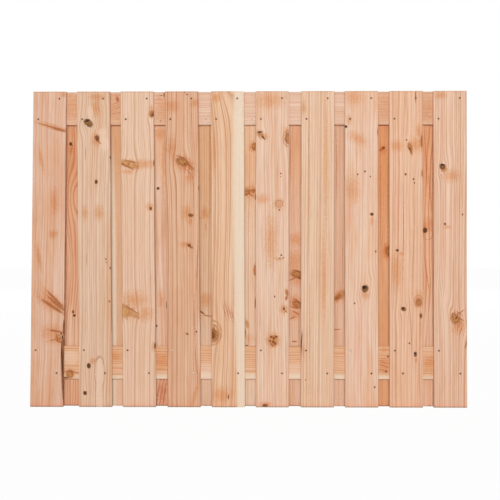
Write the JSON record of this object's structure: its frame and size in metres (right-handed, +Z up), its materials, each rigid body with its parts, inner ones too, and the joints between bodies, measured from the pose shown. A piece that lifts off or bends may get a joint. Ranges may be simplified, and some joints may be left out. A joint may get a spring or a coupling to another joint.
{
  "type": "wooden fence panel",
  "caption": "Closed softwood fence panel: upright planed boards nailed to both faces of two level rails, the back boards covering the gaps between the front ones.",
  "frame": {"origin": "ground line below the panel, at mid-length and mid-thickness", "axes": "+X along the panel to the right seen from the front, +Y from front to back, +Z up"},
  "size_m": [1.7985, 0.048, 1.3],
  "materials": {
    "front_board_wood": "planed, untreated",
    "back_board_wood": "planed, untreated",
    "rail_wood": "planed, untreated",
    "nail_steel": "plain, dulled"
  },
  "bodies": {
    "root": {"front_board_01": "front_board_wood", "front_board_02": "front_board_wood", "front_board_03": "front_board_wood", "front_board_04": "front_board_wood", "front_board_05": "front_board_wood", "front_board_06": "front_board_wood", "front_board_07": "front_board_wood", "front_board_08": "front_board_wood", "front_board_09": "front_board_wood", "front_board_10": "front_board_wood", "back_board_01": "back_board_wood", "back_board_02": "back_board_wood", "back_board_03": "back_board_wood", "back_board_04": "back_board_wood", "back_board_05": "back_board_wood", "back_board_06": "back_board_wood", "back_board_07": "back_board_wood", "back_board_08": "back_board_wood", "back_board_09": "back_board_wood", "top_rail": "rail_wood", "bottom_rail": "rail_wood", "front_nails_top_rail": "nail_steel", "front_nails_bottom_rail": "nail_steel", "back_nails_top_rail": "nail_steel", "back_nails_bottom_rail": "nail_steel"}
  },
  "joints": []
}
